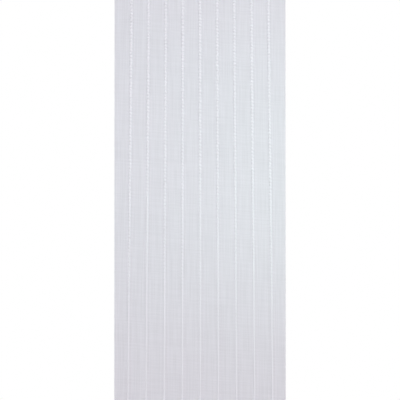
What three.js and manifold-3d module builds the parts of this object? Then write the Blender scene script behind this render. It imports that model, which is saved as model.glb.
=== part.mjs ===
// A vertical blind vane: one flat strip of stiffened woven cloth. It hangs by a slot punched
// near its top edge, which drops over a carrier's hook. Heavy pinstripe yarns are woven in along
// its whole length and stand proud of the cloth as ribs, more on the room face than on the back.
//
// Millimetres. +Z is up, the room face looks towards -Y, and +X runs across the vane.
// The origin is where the hook carries the vane: the middle of the slot's upper edge.

import * as THREE from "three";
import { mergeVertices } from "three/addons/utils/BufferGeometryUtils.js";
import Module from "manifold-3d";

const wasm = await Module();
wasm.setup();

// The strip
const VANE_WIDTH = 89;
const VANE_LENGTH = 1370;
const CLOTH_THICKNESS = 0.6;
const CORNER_RADIUS = 3;

// The hanging slot, with round ends
const SLOT_LENGTH = 15;
const SLOT_HEIGHT = 5;
const WEB_ABOVE_SLOT = 7;

// The pinstripe yarns, oval in section and buried in the cloth. They stay this far from the edges.
const PINSTRIPE_PITCH = 9.15;
const PINSTRIPE_EDGE_MARGIN = 5;
const YARN_WIDTH = 1.3;
const YARN_PROUD_OF_FACE = 0.25;
const YARN_PROUD_OF_BACK = 0.12;

// The weave breathes: the pitch swells and shrinks by this share, once in each wave of length.
const PITCH_SWELL = 0.036;
const SWELL_WAVE = 800;

// How far the woven blank reaches past the strip before it is cut out, and the die past its faces
const BLANK_OVERRUN = 2;
const DIE_OVERRUN = 1;

// How finely curves are cut
const YARN_SIDES = 12;
const YARN_STATION_STEP = 70;
const ARC_STEPS = 12;

const topZ = WEB_ABOVE_SLOT;
const bottomZ = topZ - VANE_LENGTH;
const middleZ = (topZ + bottomZ) / 2;
const faceY = CLOTH_THICKNESS / 2 + YARN_PROUD_OF_FACE;
const backY = CLOTH_THICKNESS / 2 + YARN_PROUD_OF_BACK;

// A closed geometry as a solid that can be joined and cut.
function solid(geometry) {
  const bare = new THREE.BufferGeometry();
  bare.setAttribute("position", geometry.getAttribute("position"));
  bare.setIndex(geometry.getIndex());
  const merged = mergeVertices(bare);
  return new wasm.Manifold(
    new wasm.Mesh({
      numProp: 3,
      vertProperties: merged.getAttribute("position").array,
      triVerts: new Uint32Array(merged.getIndex().array),
    }),
  );
}

// A solid as a geometry again.
function geometryOf(joined) {
  const mesh = joined.getMesh();
  const geometry = new THREE.BufferGeometry();
  geometry.setAttribute("position", new THREE.BufferAttribute(mesh.vertProperties, 3));
  geometry.setIndex(new THREE.BufferAttribute(mesh.triVerts, 1));
  geometry.computeVertexNormals();
  return geometry;
}

// The slot's outline: its upper edge is at height 0, where the hook bears.
function slotOutline() {
  const r = SLOT_HEIGHT / 2;
  const straight = SLOT_LENGTH / 2 - r;
  const outline = new THREE.Path();
  outline.moveTo(-straight, -SLOT_HEIGHT);
  outline.lineTo(straight, -SLOT_HEIGHT);
  outline.absarc(straight, -r, r, -Math.PI / 2, Math.PI / 2);
  outline.lineTo(-straight, 0);
  outline.absarc(-straight, -r, r, Math.PI / 2, 1.5 * Math.PI);
  return outline;
}

// The die's outline seen from the room, as x and height: the strip with round corners, and the slot.
function dieOutline() {
  const side = VANE_WIDTH / 2;
  const r = CORNER_RADIUS;
  const outline = new THREE.Shape();
  outline.moveTo(-side + r, bottomZ);
  outline.lineTo(side - r, bottomZ);
  outline.absarc(side - r, bottomZ + r, r, -Math.PI / 2, 0);
  outline.lineTo(side, topZ - r);
  outline.absarc(side - r, topZ - r, r, 0, Math.PI / 2);
  outline.lineTo(-side + r, topZ);
  outline.absarc(-side + r, topZ - r, r, Math.PI / 2, Math.PI);
  outline.lineTo(-side, bottomZ + r);
  outline.absarc(-side + r, bottomZ + r, r, Math.PI, 1.5 * Math.PI);
  outline.holes.push(slotOutline());
  return outline;
}

// Everything inside the die's outline, to a depth that takes in the cloth and its proud yarns.
function die() {
  const depth = 2 * (Math.max(faceY, backY) + DIE_OVERRUN);
  const geometry = new THREE.ExtrudeGeometry(dieOutline(), {
    depth,
    bevelEnabled: false,
    curveSegments: ARC_STEPS,
  });
  geometry.rotateX(Math.PI / 2);
  geometry.translate(0, depth / 2, 0);
  return solid(geometry);
}

// The cloth before it is cut out, larger than the strip all round.
function clothBlank() {
  const geometry = new THREE.BoxGeometry(
    VANE_WIDTH + 2 * BLANK_OVERRUN,
    CLOTH_THICKNESS,
    VANE_LENGTH + 2 * BLANK_OVERRUN,
  );
  geometry.translate(0, 0, middleZ);
  return solid(geometry);
}

// Where a pinstripe runs at a height. Place 0 is the middle one, and the others count from it.
function pinstripeX(place, z) {
  const swell = PITCH_SWELL * Math.sin((2 * Math.PI * (middleZ - z)) / SWELL_WAVE);
  return place * PINSTRIPE_PITCH * (1 + swell);
}

// One pinstripe yarn in the blank: an oval ring at each station along it.
function pinstripe(place) {
  const stations = Math.ceil(VANE_LENGTH / YARN_STATION_STEP);
  const positions = [];
  for (let s = 0; s <= stations; s++) {
    const z = bottomZ - BLANK_OVERRUN + ((VANE_LENGTH + 2 * BLANK_OVERRUN) * s) / stations;
    for (let k = 0; k < YARN_SIDES; k++) {
      const angle = (2 * Math.PI * k) / YARN_SIDES;
      const depth = Math.sin(angle);
      positions.push(
        pinstripeX(place, z) + (YARN_WIDTH / 2) * Math.cos(angle),
        depth * (depth > 0 ? backY : faceY),
        z,
      );
    }
  }
  const index = [];
  for (let s = 0; s < stations; s++) {
    for (let k = 0; k < YARN_SIDES; k++) {
      const here = s * YARN_SIDES + k;
      const beside = s * YARN_SIDES + ((k + 1) % YARN_SIDES);
      index.push(here, beside, beside + YARN_SIDES);
      index.push(here, beside + YARN_SIDES, here + YARN_SIDES);
    }
  }
  const lastRing = stations * YARN_SIDES;
  for (let k = 1; k < YARN_SIDES - 1; k++) {
    index.push(0, k + 1, k);
    index.push(lastRing, lastRing + k, lastRing + k + 1);
  }
  const geometry = new THREE.BufferGeometry();
  geometry.setAttribute("position", new THREE.Float32BufferAttribute(positions, 3));
  geometry.setIndex(index);
  return solid(geometry);
}

// Every pinstripe that the width has room for, the same number on each side of the middle one.
function pinstripes() {
  const room = VANE_WIDTH / 2 - PINSTRIPE_EDGE_MARGIN;
  const perSide = Math.floor(room / PINSTRIPE_PITCH);
  let yarns = pinstripe(0);
  for (let place = 1; place <= perSide; place++) {
    yarns = yarns.add(pinstripe(place)).add(pinstripe(-place));
  }
  return yarns;
}

// The whole vane: the woven blank, cut to its outline and slotted in one stroke of the die.
function vaneGeometry() {
  return geometryOf(clothBlank().add(pinstripes()).intersect(die()));
}

const wovenCloth = new THREE.MeshStandardMaterial({
  name: "woven_cloth",
  color: 0xdde0e6,
  roughness: 0.9,
  metalness: 0,
});

const vane = new THREE.Mesh(vaneGeometry(), wovenCloth);
vane.name = "vane";

const verticalBlindVane = new THREE.Group();
verticalBlindVane.add(vane);

export default verticalBlindVane;
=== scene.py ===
# A vertical blind vane, hung by its slot: one flat strip of stiffened plain-woven cloth with whiter
# pinstripe yarns. Where the weave is drawn together each yarn floats and dives by turns, like a row
# of beads. Where it is spread the yarn lies on the cloth and only dimples.
#
# Metres. +Z is up, the room face looks towards -Y, and the origin is where the hook bears.

import math

import bpy
import numpy as np
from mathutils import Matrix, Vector


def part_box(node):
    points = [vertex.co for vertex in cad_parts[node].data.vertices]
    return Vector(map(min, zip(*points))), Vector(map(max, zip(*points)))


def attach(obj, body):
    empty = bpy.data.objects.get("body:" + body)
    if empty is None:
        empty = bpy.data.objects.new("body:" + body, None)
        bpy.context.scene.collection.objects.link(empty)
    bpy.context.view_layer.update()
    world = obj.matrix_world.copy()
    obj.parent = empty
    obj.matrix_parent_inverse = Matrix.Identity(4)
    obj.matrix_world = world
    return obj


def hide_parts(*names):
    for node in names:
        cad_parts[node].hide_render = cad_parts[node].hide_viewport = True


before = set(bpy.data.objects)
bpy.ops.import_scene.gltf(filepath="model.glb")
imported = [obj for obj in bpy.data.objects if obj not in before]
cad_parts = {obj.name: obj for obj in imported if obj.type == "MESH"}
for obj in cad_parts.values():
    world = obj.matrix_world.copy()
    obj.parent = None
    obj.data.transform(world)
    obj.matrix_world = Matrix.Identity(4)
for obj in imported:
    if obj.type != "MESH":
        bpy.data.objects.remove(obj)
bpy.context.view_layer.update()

MM = 0.001
LOW, HIGH = (Vector(corner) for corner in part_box("vane"))
MIDDLE = (LOW + HIGH) / 2
VANE_WIDTH = HIGH.x - LOW.x
VANE_LENGTH = HIGH.z - LOW.z

# The strip and its slot, as in the solids
CLOTH_THICKNESS = 0.6 * MM
CORNER_RADIUS = 3 * MM
SLOT_LENGTH = 15 * MM
SLOT_HEIGHT = 5 * MM

# The pinstripes, as in the solids: their pitch swells and shrinks along the length
PINSTRIPE_PITCH = 9.15 * MM
PINSTRIPES_PER_SIDE = 4
PITCH_SWELL = 0.036
SWELL_WAVE = 800 * MM

# The weave. A float here is one whole rise and dive of a pinstripe yarn, and its length swells too.
WARPS_PER_PITCH = 20
PICKS_PER_FLOAT = 4
FLOAT_LENGTH = 1.8 * MM
FLOAT_SWELL = 0.088
WEFT_SKEW = 0.375  # how many floats the weft drops from one pinstripe to the next

# The weave's small unevenness repeats after this many pitches across and floats along
PATCH_PITCHES = 10
PATCH_FLOATS = 52
WARP_DRIFT = 26  # picks from one tone of a warp to its next
PICK_DRIFT = 25  # warps from one tone of a pick to its next
WARP_SEED = 1.5
PICK_SEED = 7.5

# A table of floats against heights, which reaches this far past both ends of the strip
TABLE_OVERRUN = 30 * MM
TABLE_STEPS = 20000

# A pinstripe yarn: half its width and half its thickness, at a float and where it dives
FLOAT_HALF_WIDTH = 0.59 * MM
FLOAT_SLIMMING = 0.53  # the share by which floats are slimmer where the weave is fully spread
DIVE_HALF_WIDTH = 0.4 * MM
HALF_THICKNESS = 0.2 * MM
WIDTH_GAIN = 2.5  # how late in its rise the yarn widens
CUT_END = 0.02 * MM  # how far a cut yarn stands out of the cut edge
CUT_CLEARANCE = 0.03  # in floats: a yarn has no ring nearer to its cut than this
RING_ANGLES = (0, -45, -90, -135, 180, 120, 60)  # degrees, most of them on the room side

# The dive of a pinstripe yarn, in floats to each side of its lowest point: where the yarn slips
# under the picks. It is least where the weave is spread, and drifts by chance along each yarn.
# Below the least length the dive only gets shallower, down to a dimple.
DIVE = 0.06
DIVE_SWELL = 0.15
DIVE_CHANCE = 0.09
DIVE_LEAST = 0.09
DIVE_MOST = 0.23
DIVE_STEP = 18 * MM  # between one chance value and the next
DIMPLE_DEPTH = 0.2  # as a share of a whole dive

# How a yarn rises out of a dive: shares of the dive from its lowest point, and the lift there
RISE = ((0.5, 0), (1, 0.667), (1.4, 0.88), (2.1, 0.97))

# The cloth's room face beside a pinstripe: a ridge over the yarn, and a groove some way out
RIDGE_HEIGHT = 0.06 * MM
RIDGE_REACH = 0.45 * MM
GROOVE_DEPTH = 0.02 * MM
GROOVE_PLACE = 0.98 * MM
GROOVE_REACH = 0.28 * MM
BACK_RELIEF = 0.5  # the back's relief, as a share of the room face's

# The cloth's mesh. A patch has a whole number of its rows, and a blank is larger than the strip.
COLUMNS_BESIDE = (0, 0.3, 0.55, 0.75, 0.95, 1.15, 1.4, 1.8, 2.4)  # millimetres from a pinstripe
EDGE_COLUMNS = (4.6, 4.75, 4.85, 4.95, 5.1)  # pitches from the middle
FLOATS_PER_ROW = 13
BLANK_OVERRUN = 3 * MM
ARC_STEPS = 12
DIE_REACH = 3 * MM  # from the cloth's middle to the end of a tool that cuts through it
SIDEWAYS = 0.5  # a face that looks less than this towards the room or the back is a cut edge

# A yarn's length is laid side by side in columns for its bake. The room round each is a share of it.
STRAND_COLUMNS = 16
STRAND_SIDE_ROOM = 0.06
STRAND_END_ROOM = 0.01

# The photograph's width and the vane's width in it, the lens, and how far the camera looks up
PHOTO_WIDTH_PX = 400
VANE_WIDTH_PX = 171.1
LENS_MM = 100
SENSOR_MM = 36
LOOK_UP = math.radians(0.5)

# The key light is a little pink, and the pools that top it up are a little green
WHITE = (1.0, 1.0, 1.0)
KEY_TINT = (1.0, 0.8, 0.84)
MIDDLE_TINT = (0.56, 1.0, 0.77)
UPPER_TINT = (0.65, 0.87, 0.79)
LOWER_TINT = (0.65, 1.0, 0.82)

# Where a pool's lamp stands, seen from the middle of its pool, and the lamp's radius
NEAR_LAMP = (0.45, -1.0, 0.35)
FAR_LAMP = (1.1, -2.8, 0)
POOL_LAMP_RADIUS = 0.08

WORLD_STRENGTH = 0.47

# The floor is a disc below the vane. Away from its middle it fades into the white background.
FLOOR_GAP = 20 * MM
FLOOR_RADIUS = 3.0
FLOOR_FADE_FROM = 0.5
FLOOR_FADE_TO = 1.6


class Value:
    """A socket that carries one number, so that shader maths reads as plain arithmetic."""

    def __init__(self, shader, socket):
        self.shader = shader
        self.socket = socket

    def maths(self, operation, *numbers):
        inputs = dict(enumerate(numbers))
        node = self.shader.node("ShaderNodeMath", {"operation": operation}, inputs)
        return Value(self.shader, node.outputs[0])

    def __add__(self, other):
        return self.maths("ADD", self, other)

    def __radd__(self, other):
        return self.maths("ADD", other, self)

    def __sub__(self, other):
        return self.maths("SUBTRACT", self, other)

    def __rsub__(self, other):
        return self.maths("SUBTRACT", other, self)

    def __mul__(self, other):
        return self.maths("MULTIPLY", self, other)

    def __rmul__(self, other):
        return self.maths("MULTIPLY", other, self)

    def __truediv__(self, other):
        return self.maths("DIVIDE", self, other)

    def __mod__(self, other):
        return self.maths("FLOORED_MODULO", self, other)

    def __lt__(self, other):
        return self.maths("LESS_THAN", self, other)

    def __abs__(self):
        return self.maths("ABSOLUTE", self)

    def floor(self):
        return self.maths("FLOOR", self)

    def cosine(self):
        return self.maths("COSINE", self)

    def at_least(self, other):
        return self.maths("MAXIMUM", self, other)

    def at_most(self, other):
        return self.maths("MINIMUM", self, other)


class Shader:
    """The nodes of one material, or of the world."""

    def __init__(self, owner):
        owner.use_nodes = True
        self.tree = owner.node_tree
        self.tree.nodes.clear()

    def node(self, kind, settings=None, inputs=None):
        """A new node with these settings, and its input sockets set to values or linked."""
        node = self.tree.nodes.new(kind)
        for name, value in (settings or {}).items():
            setattr(node, name, value)
        for name, value in (inputs or {}).items():
            socket = node.inputs[name]
            if isinstance(value, Value):
                value = value.socket
            if isinstance(value, bpy.types.NodeSocket):
                self.tree.links.new(value, socket)
            else:
                socket.default_value = value
        return node

    def value(self, kind, output, settings=None, inputs=None):
        return Value(self, self.node(kind, settings, inputs).outputs[output])

    def uv(self, name):
        """The two numbers that a mesh's UV map of this name holds."""
        place = self.node("ShaderNodeUVMap", {"uv_map": name}).outputs["UV"]
        parts = self.node("ShaderNodeSeparateXYZ", inputs={"Vector": place})
        return Value(self, parts.outputs["X"]), Value(self, parts.outputs["Y"])

    def vector(self, x, y, z=0.0):
        inputs = {"X": x, "Y": y, "Z": z}
        return self.node("ShaderNodeCombineXYZ", inputs=inputs).outputs["Vector"]

    def chance(self, x, y, seed):
        """A number from 0 to 1 that is the same all over a cell and differs from cell to cell."""
        settings = {"noise_dimensions": "3D"}
        return self.value("ShaderNodeTexWhiteNoise", "Value", settings, {"Vector": self.vector(x, y, seed)})

    def noise(self, vector, scale, detail):
        inputs = {"Vector": vector, "Scale": scale, "Detail": detail}
        return self.value("ShaderNodeTexNoise", "Fac", {"noise_dimensions": "3D"}, inputs)

    def shade(self, colour, amount):
        """The colour made lighter or darker: times the amount."""
        if isinstance(colour, tuple):
            colour = colour[:3]
        node = self.node("ShaderNodeVectorMath", {"operation": "SCALE"}, {0: colour, "Scale": amount})
        return node.outputs["Vector"]

    def blend(self, amount, first, second):
        """From the first colour to the second as the amount goes from 0 to 1."""
        settings = {"data_type": "RGBA"}
        node = self.node("ShaderNodeMix", settings, {"Factor": amount, 6: first, 7: second})
        return node.outputs[2]

    def bump(self, height, strength, distance):
        inputs = {"Height": height, "Strength": strength, "Distance": distance}
        return self.node("ShaderNodeBump", inputs=inputs).outputs["Normal"]

    def seen_directly(self):
        """1 where the camera sees this surface, also in a reflection or through glass, and else 0."""
        path = self.node("ShaderNodeLightPath").outputs
        rays = ("Is Camera Ray", "Is Glossy Ray", "Is Transmission Ray")
        camera, glossy, through = (Value(self, path[ray]) for ray in rays)
        return camera.at_least(glossy).at_least(through)


def linear(red, green, blue):
    """A screen colour, each part from 0 to 255, as the linear colour that a shader takes."""

    def part(level):
        level /= 255
        return level / 12.92 if level <= 0.04045 else ((level + 0.055) / 1.055) ** 2.4

    return (part(red), part(green), part(blue), 1.0)


YARN_COLOUR = linear(234, 233.1, 241.3)
COOL_GROUND = linear(220.5, 221.4, 229.2)
WARM_GROUND = linear(222.5, 220.4, 229.2)
FLOOR_COLOUR = linear(244, 244, 245)

# A thread's height in the weave: in the middle of its wave, and how far it waves up and down
THREAD_HEIGHT = 0.65
THREAD_WAVE = 0.35

# The cloth's tone: with painted shade in the hollows between threads, what a thread's crown adds as painted
# light, and how far it varies
HOLLOW_PAINTED_SHADE_TONE = 0.93
CROWN_PAINTED_LIGHT_TONE = 0.08
WARP_UNEVENNESS = 0.06
PICK_UNEVENNESS = 0.037
FUZZ_UNEVENNESS = 0.02

# Beside a pinstripe: how strongly a dived yarn's whiteness shows through the picks over it, a
# darker line of painted shade, and rungs of painted light and shade, lighter beside each float. The
# show-through and the depths are shares, and the rest is in millimetres. Places count from the stripe's
# middle.
SHOW_THROUGH = 0.78
SHOW_THROUGH_FULL = 0.171
SHOW_THROUGH_FADE = 0.38
PAINTED_SHADE_LINE_DEPTH = 0.019
PAINTED_SHADE_LINE_PLACE = 1.1
PAINTED_SHADE_LINE_REACH = 0.45
PAINTED_RUNG_DEPTH = 0.012
PAINTED_RUNG_PLACE = 1.3
PAINTED_RUNG_REACH = 1.3
STRIPED_PITCHES = PINSTRIPES_PER_SIDE + 0.4  # no stripe's marks lie farther out than this

# A pinstripe yarn's plies turn once in this many millimetres, and its slubs are this long. Its
# fibres are a noise with so many cells round the yarn and so many along each millimetre.
PLY_TURN = 1.3
SLUB_LENGTH = 9
FIBRES_ROUND = 14
FIBRES_ALONG = 0.6
FIBRE_SLANT = 2

# A yarn's tone: painted shade in the groove between its plies, how far it varies, and how far spreading
# dims it
PLY_GROOVE_PAINTED_SHADE = 0.06
FIBRE_UNEVENNESS = 0.06
SLUB_UNEVENNESS = 0.04
SPREAD_DIMMING = 0.018


def swell_at(z):
    """From -1 to 1: how the weave is drawn together or spread at a height."""
    return np.sin(2 * math.pi * (MIDDLE.z - z) / SWELL_WAVE)


def pitch_at(z):
    return PINSTRIPE_PITCH * (1 + PITCH_SWELL * swell_at(z))


def floats_at(z):
    """How many floats lie between the vane's middle and a height, counted downwards."""
    down = MIDDLE.z - z
    turn = 2 * math.pi / SWELL_WAVE
    return (down + FLOAT_SWELL / turn * (np.cos(turn * down) - 1)) / FLOAT_LENGTH


def heights_of(floats):
    """The heights at which floats_at gives these counts."""
    table = np.linspace(HIGH.z + TABLE_OVERRUN, LOW.z - TABLE_OVERRUN, TABLE_STEPS)
    return np.interp(floats, floats_at(table), table)


def surface_relief(beside):
    """How far the cloth stands out at a distance from a pinstripe: a ridge over it, a groove beside it."""
    ridge = RIDGE_HEIGHT * np.exp(-((beside / RIDGE_REACH) ** 2))
    groove = GROOVE_DEPTH * np.exp(-(((np.abs(beside) - GROOVE_PLACE) / GROOVE_REACH) ** 2))
    return ridge - groove


def mesh_object(name, vertices, faces, material=None):
    mesh = bpy.data.meshes.new(name)
    mesh.from_pydata(np.asarray(vertices).tolist(), [], [list(map(int, face)) for face in faces])
    if material:
        mesh.materials.append(material)
    piece = bpy.data.objects.new(name, mesh)
    bpy.context.scene.collection.objects.link(piece)
    return piece


def arc(x, z, radius, start, stop):
    """Points round a centre, from one angle in degrees to another."""
    angles = np.radians(np.linspace(start, stop, ARC_STEPS + 1))
    return [(x + radius * math.cos(a), z + radius * math.sin(a)) for a in angles]


def strip_outline():
    side = VANE_WIDTH / 2 - CORNER_RADIUS
    top = HIGH.z - CORNER_RADIUS
    bottom = LOW.z + CORNER_RADIUS
    corners = ((side, bottom, -90), (side, top, 0), (-side, top, 90), (-side, bottom, 180))
    return [p for x, z, start in corners for p in arc(x, z, CORNER_RADIUS, start, start + 90)]


def slot_outline():
    radius = SLOT_HEIGHT / 2
    side = SLOT_LENGTH / 2 - radius
    return arc(side, -radius, radius, -90, 90) + arc(-side, -radius, radius, 90, 270)


def die(name, outline):
    """The outline as a solid that reaches through the cloth."""
    count = len(outline)
    vertices = [(x, y, z) for y in (-DIE_REACH, DIE_REACH) for x, z in outline]
    ring = range(count)
    faces = [[i, i + count, (i + 1) % count + count, (i + 1) % count] for i in ring]
    faces += [list(ring), [i + count for i in reversed(ring)]]
    return mesh_object(name, vertices, faces)


def cut(piece, tool, operation):
    """Cuts the piece with the tool, for good, and throws the tool away."""
    modifier = piece.modifiers.new(tool.name, "BOOLEAN")
    modifier.object = tool
    modifier.operation = operation
    modifier.solver = "EXACT"
    modifier.material_mode = "INDEX"
    shape = piece.evaluated_get(bpy.context.evaluated_depsgraph_get())
    mesh = bpy.data.meshes.new_from_object(shape)
    piece.modifiers.clear()
    piece.data = mesh
    bpy.data.objects.remove(tool)


def cloth_columns():
    """Places across the cloth, in pitches from the middle: close together beside each pinstripe."""
    beside = np.array(COLUMNS_BESIDE) * MM / PINSTRIPE_PITCH
    places = set(EDGE_COLUMNS) | {-place for place in EDGE_COLUMNS}
    for middle in range(-PINSTRIPES_PER_SIDE, PINSTRIPES_PER_SIDE + 1):
        places |= {round(middle + sign * d, 5) for sign in (-1, 1) for d in beside}
        places |= {middle + 0.5} if middle < PINSTRIPES_PER_SIDE else set()
    return np.array(sorted(places))


def cloth_blank(material):
    """A closed sheet, larger than the strip, whose columns follow the pinstripes."""
    ends = np.array([LOW.z - BLANK_OVERRUN, HIGH.z + BLANK_OVERRUN])
    rows_each_way = math.ceil(np.abs(floats_at(ends)).max() / FLOATS_PER_ROW)
    z = heights_of(FLOATS_PER_ROW * np.arange(rows_each_way, -rows_each_way - 1, -1))
    places = cloth_columns()
    nearest = np.clip(places.round(), -PINSTRIPES_PER_SIDE, PINSTRIPES_PER_SIDE)
    relief = surface_relief((places - nearest) * PINSTRIPE_PITCH)
    across, up = len(places), len(z)
    x = pitch_at(z)[:, None] * places[None, :]
    height = np.broadcast_to(z[:, None], x.shape)
    face = np.broadcast_to(-CLOTH_THICKNESS / 2 - relief, x.shape)
    back = np.broadcast_to(CLOTH_THICKNESS / 2 + relief * BACK_RELIEF, x.shape)
    vertices = np.concatenate([np.stack([x, y, height], -1).reshape(-1, 3) for y in (face, back)])
    index = np.arange(2 * across * up).reshape(2, up, across)
    front, rear = index

    def quads(a, b, c, d):
        return np.stack([a, b, c, d], -1).reshape(-1, 4)

    faces = np.concatenate(
        [
            quads(front[:-1, :-1], front[:-1, 1:], front[1:, 1:], front[1:, :-1]),
            quads(rear[:-1, :-1], rear[1:, :-1], rear[1:, 1:], rear[:-1, 1:]),
            quads(front[0, :-1], rear[0, :-1], rear[0, 1:], front[0, 1:]),
            quads(front[-1, :-1], front[-1, 1:], rear[-1, 1:], rear[-1, :-1]),
            quads(front[:-1, 0], front[1:, 0], rear[1:, 0], rear[:-1, 0]),
            quads(front[:-1, -1], rear[:-1, -1], rear[1:, -1], front[1:, -1]),
        ]
    )
    return mesh_object("vane_cloth", vertices, faces, material)


def corner_values(piece):
    """For each corner of each face: its vertex's place, and its face's normal."""
    mesh = piece.data
    vertex = np.empty(len(mesh.loops), np.int32)
    mesh.loops.foreach_get("vertex_index", vertex)
    place = np.empty(3 * len(mesh.vertices))
    mesh.vertices.foreach_get("co", place)
    count = np.empty(len(mesh.polygons), np.int32)
    mesh.polygons.foreach_get("loop_total", count)
    normal = np.empty(3 * len(mesh.polygons))
    mesh.polygons.foreach_get("normal", normal)
    return place.reshape(-1, 3)[vertex], np.repeat(normal.reshape(-1, 3), count, axis=0)


def write_uv(piece, name, u, v):
    layer = piece.data.uv_layers.new(name=name)
    layer.uv.foreach_set("vector", np.stack([u, v], 1).ravel())


def map_threads(piece):
    """Counts warps and picks over the cloth, and lays its bake so that one patch repeats."""
    place, normal = corner_values(piece)
    x, y, z = place.T
    round_edge = (y + CLOTH_THICKNESS / 2) * (np.abs(normal[:, 1]) < SIDEWAYS)
    across = (x + round_edge * normal[:, 0]) / pitch_at(z)
    down = floats_at(z + round_edge * normal[:, 2])
    write_uv(piece, "threads", across * WARPS_PER_PITCH, (down - WEFT_SKEW * across) * PICKS_PER_FLOAT)
    behind = normal[:, 1] > SIDEWAYS
    write_uv(piece, "OFBake", across / PATCH_PITCHES + 0.5 + behind, down / PATCH_FLOATS + 0.5)


def yarn_stretches(place):
    """The heights between which a pinstripe yarn runs: the slot parts the one that crosses it."""
    top, bottom = HIGH.z + CUT_END, LOW.z - CUT_END
    if abs(place * PINSTRIPE_PITCH) > SLOT_LENGTH / 2:
        return [(top, bottom)]
    return [(top, -CUT_END), (-SLOT_HEIGHT + CUT_END, bottom)]


def dive_at(place, z):
    """How far a yarn's dives reach to each side at these heights, in floats, and how deep they are."""
    steps = np.arange(math.floor(LOW.z / DIVE_STEP) - 1, math.ceil(HIGH.z / DIVE_STEP) + 2)
    chance = np.random.default_rng(PINSTRIPES_PER_SIDE + place).uniform(-1, 1, len(steps))
    drift = np.interp(z, steps * DIVE_STEP, chance)
    wanted = DIVE - DIVE_SWELL * swell_at(z) + DIVE_CHANCE * drift
    return np.clip(wanted, DIVE_LEAST, DIVE_MOST), np.clip(wanted / DIVE_LEAST, DIMPLE_DEPTH, 1)


def yarn_rings(place, top, bottom):
    """Heights of a yarn's rings between two cuts, and its lift there, from 0 in a dive to 1 at a float."""
    offset = WEFT_SKEW * place - 0.5
    first, last = floats_at(top) - offset, floats_at(bottom) - offset
    dives = np.arange(math.floor(first), math.ceil(last) + 1)
    reach, depth = dive_at(place, heights_of(dives + offset))
    after = [share * reach for share, _ in RISE]
    lifts = [lift for _, lift in RISE]
    phase = np.stack([-step for step in reversed(after)] + after + [np.full(len(dives), 0.5)], 1)
    lift = 1 - (1 - np.array(lifts[::-1] + lifts + [1.0])) * depth[:, None]
    phase, lift = (phase + dives[:, None]).ravel(), lift.ravel()
    kept = (phase > first + CUT_CLEARANCE) & (phase < last - CUT_CLEARANCE)
    ends = np.interp([first, last], phase, lift)
    height = np.concatenate([[top], heights_of(phase[kept] + offset), [bottom]])
    return height, np.concatenate([ends[:1], lift[kept], ends[1:]])


def yarn_tube(place, top, bottom):
    """Vertices, side faces, end caps and, for each corner of a side, turns round and millimetres along."""
    z, lift = yarn_rings(place, top, bottom)
    front_y, back_y = LOW.y + HALF_THICKNESS, HIGH.y - HALF_THICKNESS
    middle_y = back_y + (front_y - back_y) * lift
    float_half_width = FLOAT_HALF_WIDTH * (1 - FLOAT_SLIMMING * swell_at(z))
    half_width = DIVE_HALF_WIDTH + (float_half_width - DIVE_HALF_WIDTH) * lift**WIDTH_GAIN
    angle = np.radians(RING_ANGLES)
    x = (place * pitch_at(z))[:, None] + half_width[:, None] * np.cos(angle)
    y = middle_y[:, None] + HALF_THICKNESS * np.sin(angle)
    height = np.broadcast_to(z[:, None], x.shape)
    vertices = np.stack([x, y, height], -1).reshape(-1, 3)
    sides, rings = len(angle), len(z)
    here = np.arange(rings * sides).reshape(rings, sides)
    beside = np.roll(here, -1, axis=1)
    faces = np.stack([here[:-1], beside[:-1], beside[1:], here[1:]], -1).reshape(-1, 4)
    caps = [here[0][::-1], here[-1]]
    turn = np.arange(sides + 1) / sides
    turns = np.stack([turn[:-1], turn[1:], turn[1:], turn[:-1]], -1)
    turns = np.broadcast_to(turns, (rings - 1, sides, 4)).ravel()
    down = (HIGH.z - z) / MM
    along = np.stack([down[:-1], down[:-1], down[1:], down[1:]], -1)
    along = np.broadcast_to(along[:, None, :], (rings - 1, sides, 4)).ravel()
    return vertices, faces, caps, turns, along


def pinstripe_yarn(place, material):
    """One pinstripe yarn, its whole length in one piece, or in two where the slot parts it."""
    tubes = [yarn_tube(place, top, bottom) for top, bottom in yarn_stretches(place)]
    vertices, sides, caps, turns, along = zip(*tubes)
    starts = np.cumsum([0] + [len(tube) for tube in vertices])
    sides = np.concatenate([faces + start for faces, start in zip(sides, starts)])
    caps = [cap + start for pair, start in zip(caps, starts) for cap in pair]
    name = f"pinstripe_{place + PINSTRIPES_PER_SIDE + 1}"
    piece = mesh_object(name, np.concatenate(vertices), [*sides, *caps], material)
    spare = np.zeros(sum(len(cap) for cap in caps))
    turns = np.concatenate([*turns, spare + 0.5])
    along = np.concatenate([*along, spare])
    write_uv(piece, "strand", turns, along)
    write_uv(piece, "OFBake", *strand_bake(turns, along, 4 * len(sides)))
    rounded = np.arange(len(piece.data.polygons)) < len(sides)
    piece.data.polygons.foreach_set("use_smooth", rounded)
    return piece


def strand_bake(turns, along, side_corners):
    """Each corner's place in the bake. The sides' corners come first, and no side spans two columns."""
    length = VANE_LENGTH / MM / STRAND_COLUMNS
    middle = along.copy()
    middle[:side_corners] = np.repeat(along[:side_corners].reshape(-1, 4).mean(1), 4)
    column = np.clip(np.floor(middle / length), 0, STRAND_COLUMNS - 1)
    u = (column + STRAND_SIDE_ROOM + (1 - 2 * STRAND_SIDE_ROOM) * turns) / STRAND_COLUMNS
    v = STRAND_END_ROOM + (1 - 2 * STRAND_END_ROOM) * (along - column * length) / length
    return u, v


def around_one(spread, amount):
    """1 give or take half the spread, as the amount goes from 0 to 1."""
    return 1 - spread / 2 + spread * amount


def own_tone(shader, thread, along, thread_repeat, along_repeat, step, seed):
    """From 0 to 1: one thread's own tone, drifting along it from one chance value to the next."""
    place = along / step
    segment = place.floor()
    part = place - segment
    part = part * part * (3 - 2 * part)
    own = thread % thread_repeat
    here = shader.chance(own, segment % (along_repeat / step), seed)
    there = shader.chance(own, (segment + 1) % (along_repeat / step), seed)
    return here + (there - here) * part


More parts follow.
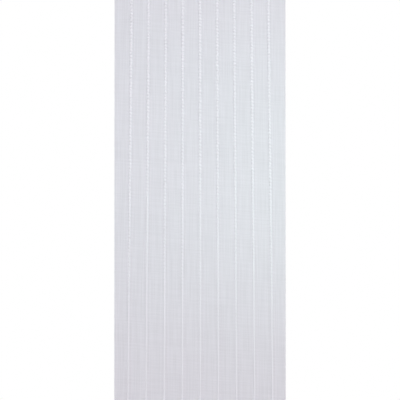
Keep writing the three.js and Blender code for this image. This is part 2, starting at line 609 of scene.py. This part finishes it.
def marks_beside(picks, warps):
    """Beside each pinstripe: how far the yarn shows through, the painted shade line and the painted
    light-and-shade rungs.
    """
    striped = abs(warps) < STRIPED_PITCHES * WARPS_PER_PITCH
    beside = abs(((warps / WARPS_PER_PITCH + 0.5) % 1) - 0.5) * (PINSTRIPE_PITCH / MM)
    # Painted shade: a darker line beside each pinstripe, in the gap where the yarn pushes the warps aside
    painted_shade_line = (1 - abs(beside - PAINTED_SHADE_LINE_PLACE) / PAINTED_SHADE_LINE_REACH).at_least(0) * striped
    # Painted light and shade: rungs lighter beside each float and darker beside each dive, where the picks
    # are drawn together
    painted_rungs = (picks * (2 * math.pi / PICKS_PER_FLOAT)).cosine()
    painted_rungs = painted_rungs * (1 - abs(beside - PAINTED_RUNG_PLACE) / PAINTED_RUNG_REACH).at_least(0) * striped
    show_through = (1 - (beside - SHOW_THROUGH_FULL) / SHOW_THROUGH_FADE).at_least(0).at_most(1)
    return show_through * striped * SHOW_THROUGH, painted_shade_line, painted_rungs


def cloth_material():
    """Plain weave in cool off-white. Warps and picks differ a little, and each varies along itself."""
    material = bpy.data.materials.new("woven_cloth")
    shader = Shader(material)
    warps, picks = shader.uv("threads")
    warp, pick = warps.floor(), picks.floor()
    in_warp, in_pick = warps - warp - 0.5, picks - pick - 0.5
    warp_round = (in_warp * math.pi).cosine()
    pick_round = (in_pick * math.pi).cosine()
    warp_rise = (warp * math.pi).cosine() * ((picks - 0.5) * math.pi).cosine()
    pick_rise = (pick * math.pi).cosine() * ((warps - 0.5) * math.pi).cosine()
    warp_height = warp_round * (THREAD_HEIGHT + THREAD_WAVE * warp_rise)
    pick_height = pick_round * (THREAD_HEIGHT - THREAD_WAVE * pick_rise)
    height = warp_height.at_least(pick_height)
    patch_warps = PATCH_PITCHES * WARPS_PER_PITCH
    patch_picks = PATCH_FLOATS * PICKS_PER_FLOAT
    warp_tone = own_tone(shader, warp, picks, patch_warps, patch_picks, WARP_DRIFT, WARP_SEED)
    pick_tone = own_tone(shader, pick, warps, patch_picks, patch_warps, PICK_DRIFT, PICK_SEED)
    show_through, painted_shade_line, painted_rungs = marks_beside(picks, warps)
    # Painted shade and light: the tone is darker in the hollows between threads and lighter on their crowns
    tone = HOLLOW_PAINTED_SHADE_TONE + CROWN_PAINTED_LIGHT_TONE * height
    tone = tone * around_one(WARP_UNEVENNESS, warp_tone) * around_one(PICK_UNEVENNESS, pick_tone)
    # Painted shade of the line beside each pinstripe, and painted light and shade of the rungs
    tone = tone * (1 - PAINTED_SHADE_LINE_DEPTH * painted_shade_line) * (1 + PAINTED_RUNG_DEPTH * painted_rungs)
    coordinates = shader.node("ShaderNodeTexCoord").outputs["Object"]
    drift = shader.noise(coordinates, scale=14.0, detail=1.0)
    ground = shader.blend(drift, WARM_GROUND, COOL_GROUND)
    ground = shader.blend(show_through, ground, YARN_COLOUR)
    fuzz = shader.noise(shader.vector(warps, picks), scale=3.0, detail=3.0)
    surface = {
        "Base Color": shader.shade(ground, tone * around_one(FUZZ_UNEVENNESS, fuzz)),
        "Roughness": 0.86 + 0.1 * (1 - height),
        "Normal": shader.bump(height + 0.15 * fuzz, strength=0.35, distance=0.1 * MM),
        "Specular IOR Level": 0.25,
        "Sheen Weight": 0.08,
        "Sheen Roughness": 0.5,
    }
    finish(shader, surface)
    return material


def yarn_material():
    """Two soft plies twisted together, whiter than the ground, with fine fibres along the twist."""
    material = bpy.data.materials.new("pinstripe_yarn")
    shader = Shader(material)
    turns, along = shader.uv("strand")
    twist = turns + along / PLY_TURN
    ply = abs((twist * (2 * math.pi)).cosine())
    fibres = shader.vector(twist * FIBRES_ROUND, along * FIBRES_ALONG - turns * FIBRE_SLANT)
    fibre = shader.noise(fibres, scale=1.0, detail=3.0)
    slub = shader.noise(shader.vector(along / SLUB_LENGTH, 0.5), scale=1.0, detail=1.0)
    from_middle = along - VANE_LENGTH / MM / 2
    spread = (from_middle * (2 * math.pi * MM / SWELL_WAVE) - math.pi / 2).cosine()
    # Painted shade: the yarn is darker in the groove between its plies
    tone = (1 - PLY_GROOVE_PAINTED_SHADE + PLY_GROOVE_PAINTED_SHADE * ply) * around_one(FIBRE_UNEVENNESS, fibre)
    tone = tone * around_one(SLUB_UNEVENNESS, slub) * (1 - SPREAD_DIMMING * spread)
    surface = {
        "Base Color": shader.shade(YARN_COLOUR, tone),
        "Roughness": 0.78 + 0.12 * fibre,
        "Normal": shader.bump(ply + 0.35 * fibre, strength=0.3, distance=0.08 * MM),
        "Specular IOR Level": 0.3,
        "Sheen Weight": 0.15,
        "Sheen Roughness": 0.4,
    }
    finish(shader, surface)
    return material


def finish(shader, surface):
    """Ends a material with a cloth-like surface that has these values."""
    body = shader.node("ShaderNodeBsdfPrincipled", inputs=surface)
    shader.node("ShaderNodeOutputMaterial", inputs={"Surface": body.outputs["BSDF"]})


def floor_material():
    """Pale and plain, fading into the white background away from the vane."""
    material = bpy.data.materials.new("floor")
    shader = Shader(material)
    coordinates = shader.node("ShaderNodeTexCoord").outputs["Object"]
    away = shader.node("ShaderNodeVectorMath", {"operation": "LENGTH"}, {0: coordinates})
    away = Value(shader, away.outputs["Value"])
    fade = ((away - FLOOR_FADE_FROM) / (FLOOR_FADE_TO - FLOOR_FADE_FROM)).at_least(0).at_most(1)
    pale = shader.node("ShaderNodeBsdfDiffuse", inputs={"Color": FLOOR_COLOUR})
    white = shader.node("ShaderNodeEmission", inputs={"Color": (*WHITE, 1.0), "Strength": 1.0})
    mixed = {0: fade * shader.seen_directly(), 1: pale.outputs["BSDF"], 2: white.outputs["Emission"]}
    body = shader.node("ShaderNodeMixShader", inputs=mixed)
    shader.node("ShaderNodeOutputMaterial", inputs={"Surface": body.outputs["Shader"]})
    return material


def lay_floor():
    ring = [(x, y, 0) for x, y in arc(0, 0, FLOOR_RADIUS, 0, 360)[:-1]]
    floor = mesh_object("floor", ring, [range(len(ring))], floor_material())
    floor.location = (0, 0, LOW.z - FLOOR_GAP)


def light_world():
    """Plain pale light from all round. What the camera sees of it is white."""
    world = bpy.data.worlds.new("studio")
    bpy.context.scene.world = world
    shader = Shader(world)
    colour = (*WHITE, 1.0)
    light = shader.node("ShaderNodeBackground", inputs={"Color": colour, "Strength": WORLD_STRENGTH})
    white = shader.node("ShaderNodeBackground", inputs={"Color": colour, "Strength": 1.0})
    mixed = {0: shader.seen_directly(), 1: light.outputs["Background"], 2: white.outputs["Background"]}
    body = shader.node("ShaderNodeMixShader", inputs=mixed)
    shader.node("ShaderNodeOutputWorld", inputs={"Surface": body.outputs["Shader"]})


def aim(thing, place, target):
    thing.location = place
    thing.rotation_euler = (target - place).to_track_quat("-Z", "Y").to_euler()


def add_lamp(name, kind, energy, colour, place, target):
    lamp = bpy.data.lights.new(name, kind)
    lamp.energy = energy
    lamp.color = colour
    thing = bpy.data.objects.new(name, lamp)
    bpy.context.scene.collection.objects.link(thing)
    aim(thing, place, target)
    thing.visible_camera = False
    return lamp


def add_sun(name, energy, colour, direction, softness):
    """Even light that comes from this direction, softened by this many degrees."""
    sun = add_lamp(name, "SUN", energy, colour, MIDDLE + Vector(direction), MIDDLE)
    sun.angle = math.radians(softness)


def add_pool(name, energy, colour, lamp, middle, reach, fade):
    """A round pool of light that dims over its outer part, the fade, to nothing at its reach.

    The pool's middle counts from the vane's, and the lamp's place from the pool's middle.
    """
    target = MIDDLE + Vector(middle)
    pool = add_lamp(name, "SPOT", energy, colour, target + Vector(lamp), target)
    pool.spot_size = 2 * math.atan(reach / Vector(lamp).length)
    pool.spot_blend = fade
    pool.shadow_soft_size = POOL_LAMP_RADIUS


def light_vane():
    """Soft light from the upper right, from behind and from above, topped up by three pools.

    The upper pool takes in the whole upper half. Between it and the lower one the light dips.
    """
    add_sun("key", 0.938, KEY_TINT, direction=(0.5, -1.6, 1.0), softness=25)
    add_sun("behind", 0.95, WHITE, direction=(-0.6, 1.6, 1.0), softness=40)
    add_sun("above", 0.4, WHITE, direction=(0, 0, 2), softness=30)
    add_pool("middle_pool", 13.6, MIDDLE_TINT, NEAR_LAMP, middle=(0.077, 0, -0.003), reach=0.134, fade=1.0)
    add_pool("upper_pool", 141.0, UPPER_TINT, FAR_LAMP, middle=(0, 0, 1.957), reach=2.088, fade=0.1143)
    add_pool("lower_pool", 74.0, LOWER_TINT, FAR_LAMP, middle=(-0.15, 0, -0.502), reach=0.483, fade=1.0)


def set_camera():
    """Sees the middle of the vane's length, from a little below, as wide as the photograph does."""
    camera = bpy.data.cameras.new("camera")
    camera.lens = LENS_MM
    camera.sensor_width = SENSOR_MM
    thing = bpy.data.objects.new("camera", camera)
    bpy.context.scene.collection.objects.link(thing)
    seen_width = VANE_WIDTH * PHOTO_WIDTH_PX / VANE_WIDTH_PX
    distance = seen_width * LENS_MM / SENSOR_MM
    target = Vector((0, 0, MIDDLE.z))
    aim(thing, target + distance * Vector((0, -math.cos(LOOK_UP), -math.sin(LOOK_UP))), target)
    bpy.context.scene.camera = thing


def weave_vane():
    """The cloth, cut out and slotted, and the yarns in it."""
    cloth = cloth_blank(cloth_material())
    cut(cloth, die("strip", strip_outline()), "INTERSECT")
    cut(cloth, die("slot", slot_outline()), "DIFFERENCE")
    map_threads(cloth)
    yarn = yarn_material()
    places = range(-PINSTRIPES_PER_SIDE, PINSTRIPES_PER_SIDE + 1)
    yarns = [pinstripe_yarn(place, yarn) for place in places]
    for piece in [cloth, *yarns]:
        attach(piece, "root")
    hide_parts("vane")


set_camera()
light_world()
light_vane()
lay_floor()
weave_vane()

bpy.context.scene.view_settings.view_transform = "Standard"
